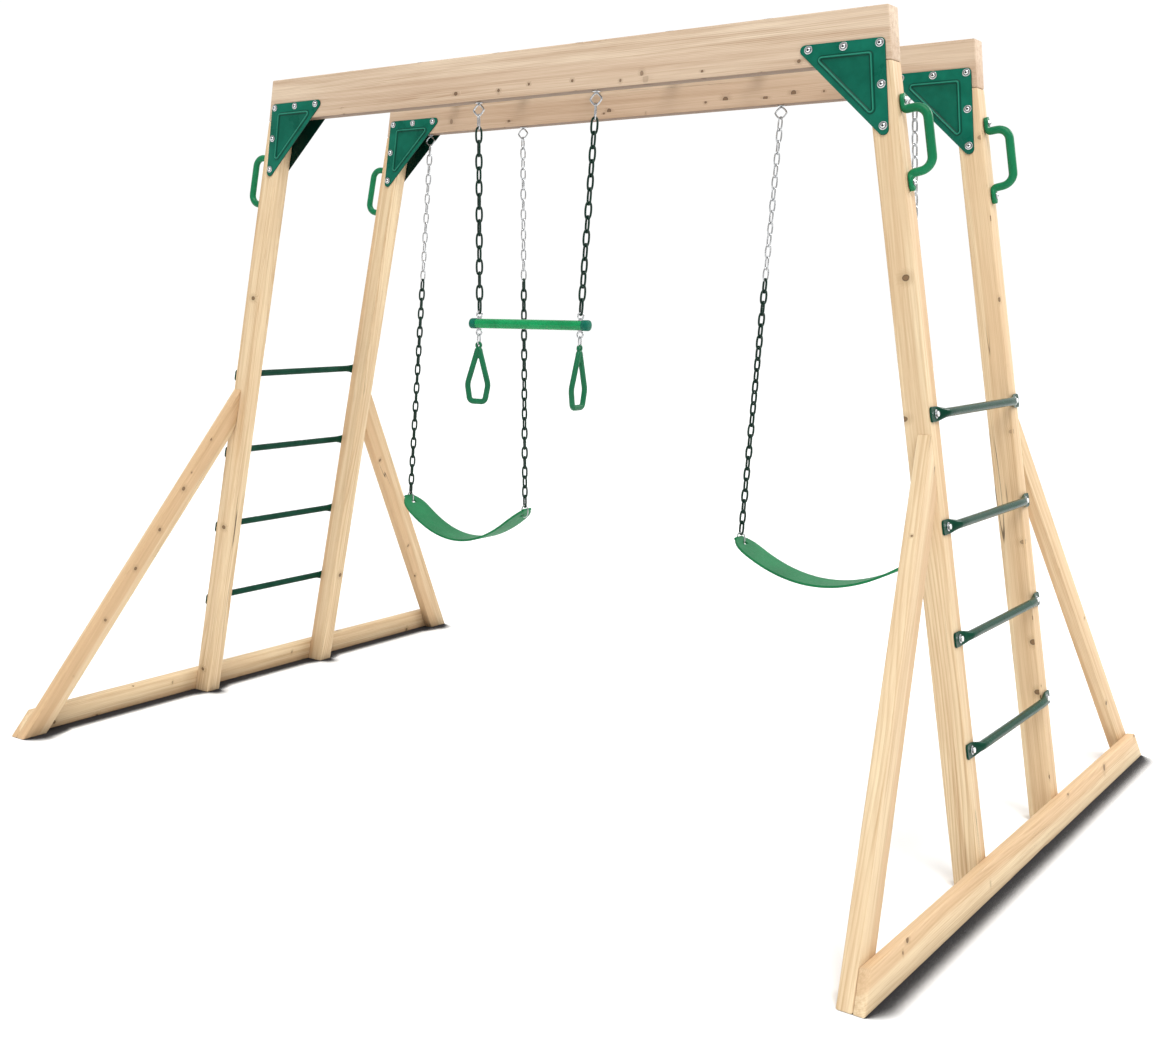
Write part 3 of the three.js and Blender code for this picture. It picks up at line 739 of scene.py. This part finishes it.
def add_gusset(row, side, face):
    """A pressed triangular plate with a raised bead round its middle, and its five screws."""
    node = f"gusset_{row}_{side}_{face}_face"
    low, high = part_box(node)
    end = SIDES[side]
    out = Y * ROWS[face]
    back = low.y if ROWS[face] > 0 else high.y
    far = high.x if end > 0 else low.x
    near = low.x if end > 0 else high.x
    toe = Vector((far - end * TIP, back, low.z + TIP))
    inner = Vector((near + end * TIP, back, high.z - TIP))
    heel = Vector((toe.x - end * (inner.z - toe.z) * GUSSET_SLOPE, back, inner.z))
    tips = [heel, inner, toe]
    bead = inset_triangle(tips, (0.031, 0.0135, 0.031))
    rings, relief = [], []
    # The last number of each ring is its painted shade (above 0) or painted highlight (below 0).
    for corners, outset, height, level in (
        (tips, TIP, 0.0, 1.0),
        (tips, TIP, PLATE_THICK - 0.0012, 0.9),
        (tips, TIP - 0.0004, PLATE_THICK - 0.0003, 0.3),
        (tips, TIP - 0.0014, PLATE_THICK, 0.0),
        (bead, 0.0140, PLATE_THICK, 0.0),
        (bead, 0.0124, PLATE_THICK + 0.0002, 0.75),
        (bead, 0.0110, PLATE_THICK + 0.0012, 0.7),
        (bead, 0.0095, PLATE_THICK + 0.0046, -0.1),
        (bead, 0.0082, PLATE_THICK + 0.0056, -0.9),
        (bead, 0.0066, PLATE_THICK + 0.0056, -0.7),
        (bead, 0.0053, PLATE_THICK + 0.0046, 0.1),
        (bead, 0.0037, PLATE_THICK + 0.0012, 0.7),
        (bead, 0.0023, PLATE_THICK + 0.0002, 0.8),
        (bead, 0.0004, PLATE_THICK, 0.15),
    ):
        ring = rounded_triangle(corners, outset)
        rings.append([point + out * height for point in ring])
        relief += [level] * len(ring)
    Shell().add((*skin(rings), relief)).piece(node + "_plate", "plate_paint", "frame", [node], 30.0)
    screws = Shell()
    inward, downward = (inner - heel).length, (toe - heel).length
    places = [heel.lerp(inner, along / inward) for along in SCREWS_INWARD]
    places += [heel.lerp(toe, along / downward) for along in SCREWS_DOWNWARD]
    upright = Z.rotation_difference(out).to_matrix().to_4x4()
    for number, place in enumerate(places):
        turn = Matrix.Rotation(0.7 * number, 4, "Z")
        screws.add(screw_head(), Matrix.Translation(place + out * PLATE_THICK) @ upright @ turn)
    screws.piece(node + "_screws", "zinc", "frame")


# ---------------------------------------------------------------- rungs and handles


LADDER_LOWEST, LADDER_SPACING, LADDER_COUNT = 0.386, 0.303, 4
OVERHEAD_COUNT = 6
OVERHEAD_BOLT_Y = ROW - 0.020
LOBE_FACE = 0.0049
HANDLE_MIDDLE = 2.018
HANDLE_SCREWS, HANDLE_FACE = (0.111, -0.109), 0.0128


def rung_part(half, lobe, taper):
    """A tube along Y, pressed flat at both ends, its back on the plane z = 0."""
    tube, flat_wide, flat_thick, corner = 0.0127, 0.021, 0.0025, 0.007
    stations = []
    for step in range(6):
        turn = step / 5 * math.pi / 2
        wide = flat_wide - corner * (1 - math.sin(turn))
        stations.append((half - corner * (1 - math.cos(turn)), wide, flat_thick, 0.35))
    stations.append((half - lobe, flat_wide, flat_thick, 0.4))
    for step in range(1, 15):
        part = step / 14
        wide = flat_wide + (tube - flat_wide) * eased(part)
        thick = flat_thick + (tube - flat_thick) * (0.35 * part + 0.65 * eased(part))
        stations.append((half - lobe - taper * part, wide, thick, 0.4 + 0.6 * min(1.0, 1.6 * part)))
    stations += [(half - lobe - taper - 0.06 * step, tube, tube, 1.0) for step in range(1, 5)]
    both = stations + [(-y, wide, thick, square) for y, wide, thick, square in reversed(stations)]
    rings = []
    for y, wide, thick, square in both:
        rings.append(oval(Vector((0, y, thick)), X, Z, wide, thick, 28, square))
    return skin(rings)


def add_rung(node, place, part, bolt_y, bolt_part):
    Shell().add(part, place).piece(node + "_tube", "rung_paint", "frame", [node])
    bolts = Shell()
    for row in ROWS.values():
        bolts.add(bolt_part, place @ Matrix.Translation((0, row * bolt_y, LOBE_FACE)))
    bolts.piece(node + "_bolts", "zinc", "frame")


def add_rungs():
    """Ladder rungs on the posts' outer faces and overhead rungs on top of the beams."""
    ladder = rung_part(half=0.390, lobe=0.034, taper=0.062)
    for side, end in SIDES.items():
        for step in range(LADDER_COUNT):
            height = LADDER_LOWEST + LADDER_SPACING * step
            place = Matrix.Translation((outer_plane(height) + GAP, 0, height))
            place = half_turn(end < 0, "Z") @ place @ Matrix.Rotation(math.pi / 2 - LEAN, 4, "Y")
            add_rung(f"ladder_rung_{side}_{step + 1}", place, ladder, ROW, hex_bolt())
    overhead = rung_part(half=0.360, lobe=0.044, taper=0.078)
    low_bolt = screw_head(washer=0.0098, head=0.0072, high=0.0012)
    for step in range(OVERHEAD_COUNT):
        node = f"overhead_rung_{step + 1}"
        place = Matrix.Translation((middle_x(node), 0, BEAM_TOP + GAP))
        add_rung(node, place, overhead, OVERHEAD_BOLT_Y, low_bolt)


def handle_part():
    """A grab handle on the plane x = 0, standing out along +X, upright along Z."""
    half, reach, radius = 0.131, 0.065, 0.012
    foot, thick, wide = 0.0066, 0.0066, 0.0172
    corners = [
        Vector((foot, 0, half)),
        Vector((foot, 0, half - 0.043)),
        Vector((reach, 0, 0.086)),
        Vector((reach, 0, -0.082)),
        Vector((foot, 0, -half + 0.047)),
        Vector((foot, 0, -half)),
    ]
    path = filled(rounded(corners, [0, 0.010, 0.034, 0.034, 0.010, 0]), 0.006)
    runs = [0.0]
    for before, after in zip(path, path[1:]):
        runs.append(runs[-1] + (after - before).length)
    total = runs[-1]
    sizes = []
    for run in runs:
        from_end = min(run, total - run)
        swell = eased(min(1.0, max(0.0, (from_end - 0.032) / 0.014)))
        tip = min(1.0, from_end / 0.016)
        lobe = wide * math.sqrt(max(0.05, 1 - (1 - tip) ** 2))
        in_plane = thick + (radius - thick) * swell
        sizes.append((in_plane, lobe + (radius - lobe) * swell, 0.75 + 0.25 * swell))
    return sweep(path, sizes, Y, 20)


def add_handles():
    for side, end in SIDES.items():
        for row, offset in ROWS.items():
            x = outer_plane(HANDLE_MIDDLE) + GAP
            place = Matrix.Translation((x, offset * end * ROW, HANDLE_MIDDLE))
            place = half_turn(end < 0, "Z") @ place @ Matrix.Rotation(-LEAN, 4, "Y")
            name = f"handle_{row}_{side}"
            Shell().add(handle_part(), place).piece(name + "_grip", "handle_plastic", "frame", [name])
            screws = Shell()
            for height in HANDLE_SCREWS:
                lay = Matrix.Translation((HANDLE_FACE, 0, height)) @ Matrix.Rotation(math.pi / 2, 4, "Y")
                screws.add(screw_head(washer=0.0095, head=0.0062, high=0.0036), place @ lay)
            screws.piece(name + "_screws", "zinc", "frame")


# ---------------------------------------------------------------- chain and hanging hardware


def loop(middle_z, half_wide, half_high, count, powers=(1.0, 1.0), first=0.0):
    """A closed path of count points about the Y axis."""
    path = []
    for step in range(count):
        angle = 2 * math.pi * (step + first) / count
        x = half_wide * powered(math.cos(angle), powers[0])
        z = half_high * powered(math.sin(angle), powers[1])
        path.append(Vector((x, 0, middle_z + z)))
    return path


def bent_bar(path, half_in, half_side, squareness=1.0, count=12):
    """One section all the way round a closed path in the XZ plane."""
    return sweep(path, [(half_in, half_side, squareness)] * len(path), Y, count, True)


# How far a hanging piece's top in the frame lies below the pin that it hangs from.
BELOW_PIN = 0.0036
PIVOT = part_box("swing_chain_left_left")[1].z + BELOW_PIN
EYE_WIRE = 0.003
CHAIN_TURN, CHAIN_WOBBLE = math.radians(33), math.radians(22)


def link_part(inner_long, inner_wide, wire):
    """A closed oval link in the XZ plane, centred on the origin, long along Z."""
    half_wide, half_long = (inner_wide + wire) / 2, (inner_long + wire) / 2
    return bent_bar(loop(0.0, half_wide, half_long, 24, (0.72, 0.85), 0.5), wire / 2, wire / 2)


def hang(part, middle, way, turn):
    """A link laid along a direction and turned about it."""
    lay = Z.rotation_difference(way).to_matrix().to_4x4()
    return part, Matrix.Translation(middle) @ lay @ Matrix.Rotation(turn, 4, "Z")


def chain(node, start, end, groups, body, pitch_wish):
    """Links from start to end. Each group is (slot, share of the length, wire, inner width)."""
    way = (end - start).normalized()
    length = (end - start).length
    count = 2 * round(length / pitch_wish / 2) + 1
    pitch = length / count
    shells = [Shell() for _ in groups]
    limits = []
    run = 0.0
    for _, share, _, _ in groups:
        run += share
        limits.append(run)
    for number in range(count):
        middle = start + way * pitch * (number + 0.5)
        part = (number + 0.5) / count
        which = next(place for place, limit in enumerate(limits) if part <= limit + 1e-6)
        _, _, wire, inner_wide = groups[which]
        turn = CHAIN_TURN if number % 2 == 0 else CHAIN_TURN - math.pi / 2
        turn += CHAIN_WOBBLE * noise.noise(Vector((number * 0.45, start.x * 7, start.y)))
        shells[which].add(*hang(link_part(pitch + 0.001, inner_wide, wire), middle, way, turn))
    for number, (shell, group) in enumerate(zip(shells, groups)):
        replaced = [node] if number == 0 else []
        shell.piece(f"{node}_{number + 1}", group[0], body, replaced)


def eye_part():
    """A diamond eye of round wire on a threaded shank and a washer, hanging from the origin."""
    shell = Shell()
    half_wide, half_high = 0.0195, 0.019
    washer = 0.003
    middle = -washer - 0.022
    shell.add(bent_bar(loop(middle, half_wide, half_high, 48, (1.5, 1.5)), EYE_WIRE, EYE_WIRE))
    threads = []
    for step in range(9):
        threads += [(0.0034, -0.0095 + step * 0.001), (0.0041, -0.009 + step * 0.001)]
    shell.add(revolve(threads, 16))
    shell.add(revolve([
        (0.0115, 0.0),
        (0.012, -0.0005),
        (0.012, -0.0022),
        (0.0112, -0.003),
        (0.004, -0.003),
    ]))
    return shell.points, shell.faces


def add_hanger(node, y):
    place = Matrix.Translation((middle_x(node), y, BEAM_BOTTOM - GAP))
    Shell().add(eye_part(), place).piece(node + "_eye", "zinc", "frame", [node])


# ---------------------------------------------------------------- swings


BELT_WIDE, BELT_THICK = 0.140, 0.008
BELT_HALF = {"left": 0.289, "right": 0.306}
BELT_SAG = {"left": 0.148, "right": 0.122}
# The two edges of each slot, in from the belt's end.
SLOT_IN = (0.031, 0.022)
SHACKLE_LONG, SHACKLE_WIDE, SHACKLE_WIRE = 0.040, 0.023, 0.0048


def belt_height(x, side):
    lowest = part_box(f"swing_belt_{side}")[0].z + BELT_THICK / 2
    return lowest + BELT_SAG[side] * (x / BELT_HALF[side]) ** 2


def belt_half_width(from_end):
    """Full width in the middle, drawn in to a rounded end."""
    round_end = max(0.0, 1 - from_end / 0.06)
    return BELT_WIDE / 2 * math.sqrt(max(0.16, 1 - round_end ** 2.2))


def belt_part(side):
    """A thick strap with a rim, rounded ends and a slot near each end."""
    length = BELT_HALF[side]
    slot = [length - inset for inset in SLOT_IN]
    stops = [length * math.sin(math.pi / 2 * step / 18) for step in range(19)]
    stops = [stop for stop in stops if abs(stop - slot[0]) > 0.005 and abs(stop - slot[1]) > 0.005]
    stops = sorted(stops + slot)
    xs = [-stop for stop in reversed(stops) if stop > 0] + stops
    shares = (-1.0, -0.97, -0.9, -0.72, -0.45, -0.2, 0.2, 0.45, 0.72, 0.9, 0.97, 1.0)
    rows = []
    for x in xs:
        half = belt_half_width(length - abs(x))
        height = belt_height(x, side)
        row = []
        for share in shares:
            beside_slot = math.copysign(min(0.014, 0.3 * half), share)
            row.append(Vector((x, half * share if abs(share) > 0.21 else beside_slot, height)))
        rows.append(row)
    width = len(shares)
    points = [point for row in rows for point in row]
    faces = []
    for here in range(len(xs) - 1):
        for column in range(width - 1):
            low, high = sorted((abs(xs[here]), abs(xs[here + 1])))
            hole = abs(low - slot[0]) < 1e-6 and abs(high - slot[1]) < 1e-6
            if hole and abs(shares[column] + 0.2) < 1e-6:
                continue
            corner = here * width + column
            faces.append([corner, corner + 1, corner + width + 1, corner + width])
    return points, faces


def add_belt(side):
    """A belt seat. Gives back the middle of its length."""
    node = f"swing_belt_{side}"
    centre = Vector((middle_x(node), ROW, 0))
    points, faces = belt_part(side)
    mesh = bpy.data.meshes.new(node)
    mesh.from_pydata([point + centre for point in points], [], faces)
    mesh.shade_smooth()
    piece = finished(mesh, node + "_strap", "belt_rubber", f"{side}_swing", [node])
    thick = piece.modifiers.new("thickness", "SOLIDIFY")
    thick.thickness = BELT_THICK
    thick.offset = 0.0
    thick.use_even_offset = True
    ease = piece.modifiers.new("eased", "BEVEL")
    ease.width = 0.0022
    ease.segments = 3
    ease.limit_method = "ANGLE"
    ease.angle_limit = math.radians(50)
    smooth = piece.modifiers.new("smooth", "SUBSURF")
    smooth.levels = smooth.render_levels = 1
    return centre


def add_swings():
    """Belt seats under the rear beam, each on two chains with a shackle through the belt's slot."""
    groups = [("zinc", 0.39, 0.0054, 0.0125), ("chain_coat", 0.61, 0.0072, 0.0115)]
    pitch = 0.039
    past_slot, below_belt = 0.011, 0.008
    for side in SIDES:
        centre = add_belt(side)
        body = f"{side}_swing"
        for hand, way in SIDES.items():
            hanger = f"swing_hanger_{side}_{hand}"
            add_hanger(hanger, ROW)
            slot_x = BELT_HALF[side] - SLOT_IN[1]
            shackle_x = centre.x + way * (slot_x + past_slot)
            shackle_z = belt_height(slot_x, side) - below_belt + SHACKLE_LONG / 2
            middle = Vector((shackle_x, ROW, shackle_z))
            start = Vector((middle_x(hanger), ROW, PIVOT + EYE_WIRE))
            finish = middle + Z * (SHACKLE_LONG / 2 + 0.0005)
            chain(f"swing_chain_{side}_{hand}", start, finish, groups, body, pitch)
            link = link_part(SHACKLE_LONG, SHACKLE_WIDE, SHACKLE_WIRE)
            shackle = Shell().add(*hang(link, middle, Z, 0.0))
            shackle.piece(f"swing_shackle_{side}_{hand}", "zinc", body)


# ---------------------------------------------------------------- trapeze


BAR_LOW, BAR_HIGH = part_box("trapeze_bar")
BAR_Z = (BAR_LOW.z + BAR_HIGH.z) / 2
BAR_RADIUS = 0.016
BAR_EYE, BAR_EYE_WIRE = 0.010, 0.003
BAR_EYE_OFFSET = BAR_RADIUS + 0.001 + BAR_EYE + BAR_EYE_WIRE
RING_HIGH = 0.205
EYELET_RADIUS, EYELET_DROP = 0.0085, 0.0065


def add_bar():
    """The trapeze bar's tube and its two end caps."""
    half = (BAR_HIGH.x - BAR_LOW.x) / 2
    cap, proud = 0.024, 0.0015
    middle = Vector((middle_x("trapeze_bar"), -ROW, BAR_Z))
    along = Matrix.Translation(middle) @ Matrix.Rotation(math.pi / 2, 4, "Y")
    tube = revolve([
        (BAR_RADIUS - 0.002, -half + 0.002),
        (BAR_RADIUS, -half + 0.003),
        (BAR_RADIUS, half - 0.003),
        (BAR_RADIUS - 0.002, half - 0.002),
    ], 40)
    Shell().add(tube, along).piece("trapeze_bar_tube", "bar_paint", "trapeze", ["trapeze_bar"])
    for hand, way in SIDES.items():
        profile = [
            (BAR_RADIUS + 0.0001, cap),
            (BAR_RADIUS + proud - 0.0004, cap),
            (BAR_RADIUS + proud, cap - 0.0005),
            (BAR_RADIUS + proud, 0.004),
            (BAR_RADIUS + proud - 0.0012, 0.0012),
            (BAR_RADIUS + proud - 0.004, 0.0),
            (0.004, 0.0),
        ]
        place = along @ half_turn(way > 0, "Y") @ Matrix.Translation((0, 0, -half))
        Shell().add(revolve(profile, 40), place).piece(f"trapeze_cap_{hand}", "plate_paint", "trapeze")


def bar_eye_part():
    """An eye above and an eye below the bar, joined by a shank, with a flanged nut on each side."""
    shell = Shell()
    for way in (1, -1):
        path = loop(way * BAR_EYE_OFFSET, BAR_EYE, BAR_EYE, 32)
        shell.add(bent_bar(path, BAR_EYE_WIRE, BAR_EYE_WIRE))
        nut = revolve([
            (0.0088, 0.0),
            (0.0088, 0.0012),
            (0.0062, 0.0013, "hex"),
            (0.0062, 0.0035, "hex"),
            (0.0036, 0.0038),
        ])
        shell.add(nut, half_turn(way < 0, "X") @ Matrix.Translation((0, 0, BAR_RADIUS - 0.0008)))
    shank, reach = 0.0038, BAR_EYE_OFFSET - BAR_EYE
    shell.add(revolve([(shank, -reach), (shank, reach)], 16))
    return shell.points, shell.faces


def ring_part(top):
    """A hand ring in the XZ plane: an eyelet at the top, a web, straight sides and a level grip."""
    tube, depth = 0.0095, 0.008
    half_wide, half_bottom, widest_drop = 0.0415, 0.0303, 0.138
    apex = top - tube
    bottom = top - RING_HIGH + tube
    widest = top - widest_drop
    corners = [
        Vector((0, 0, apex)),
        Vector((half_wide, 0, widest)),
        Vector((half_bottom, 0, bottom)),
        Vector((-half_bottom, 0, bottom)),
        Vector((-half_wide, 0, widest)),
    ]
    path = rounded(corners, [0.005, 0.046, 0.017, 0.017, 0.046], True)
    shell = Shell().add(bent_bar(path, tube, depth, 0.85, 20))
    web_drop, web_thick = 0.046, 0.005
    web_half = half_wide * web_drop / (apex - widest)
    outline = [
        Vector((0.003, 0, apex - 0.004)),
        Vector((web_half, 0, apex - web_drop)),
        Vector((web_half * 0.4, 0, apex - web_drop + 0.005)),
        Vector((-web_half * 0.4, 0, apex - web_drop + 0.005)),
        Vector((-web_half, 0, apex - web_drop)),
        Vector((-0.003, 0, apex - 0.004)),
    ]
    shell.add(skin([[point + Y * web_thick * way for point in outline] for way in (-1, 1)]))
    eyelet = loop(top - EYELET_DROP, EYELET_RADIUS, EYELET_RADIUS, 24)
    shell.add(bent_bar(eyelet, 0.004, 0.0055, 0.9, 14))
    return shell.points, shell.faces


def add_ring(hand, x, turn):
    """A ring and the link that it hangs by from the bar's lower eye."""
    node, body = f"ring_{hand}", f"{hand}_ring"
    low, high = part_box(node)
    top = low.z + RING_HIGH
    place = Matrix.Translation((x, -ROW, 0)) @ Matrix.Rotation(turn, 4, "Z")
    Shell().add(ring_part(top), place).piece(node + "_loop", "ring_plastic", body, [node])
    link_top = high.z + BELOW_PIN + BAR_EYE_WIRE
    link_bottom = top - EYELET_DROP + 0.0045
    middle = Vector((x, -ROW, (link_top + link_bottom) / 2))
    link = link_part(link_top - link_bottom, 0.010, 0.0048)
    Shell().add(*hang(link, middle, Z, math.pi / 2)).piece(f"ring_link_{hand}", "zinc", body)


def add_trapeze():
    """The bar on its two chains under the front beam, and a ring below each end."""
    add_bar()
    groups = [("zinc", 0.06, 0.0048, 0.0105), ("chain_coat", 0.94, 0.0070, 0.0125)]
    pitch = 0.043
    ring_turn = {"left": 0.0, "right": math.radians(90)}
    for hand in SIDES:
        hanger, bolt = f"trapeze_hanger_{hand}", f"trapeze_eye_bolt_{hand}"
        add_hanger(hanger, -ROW)
        eye = Vector((middle_x(bolt), -ROW, BAR_Z))
        shell = Shell().add(bar_eye_part(), Matrix.Translation(eye))
        shell.piece(bolt + "_eyes", "zinc", "trapeze", [bolt])
        start = Vector((middle_x(hanger), -ROW, PIVOT + EYE_WIRE))
        finish = eye + Z * (BAR_EYE_OFFSET + BAR_EYE - BAR_EYE_WIRE)
        chain(f"trapeze_chain_{hand}", start, finish, groups, "trapeze", pitch)
        add_ring(hand, eye.x, ring_turn[hand])


add_camera()
add_studio()
for timber_node, (timber_seed, timber_tint) in TIMBER.items():
    timber(timber_node, timber_seed, timber_tint)
for row_name in ROWS:
    for side_name in SIDES:
        for face_name in ROWS:
            add_gusset(row_name, side_name, face_name)
add_rungs()
add_handles()
add_swings()
add_trapeze()
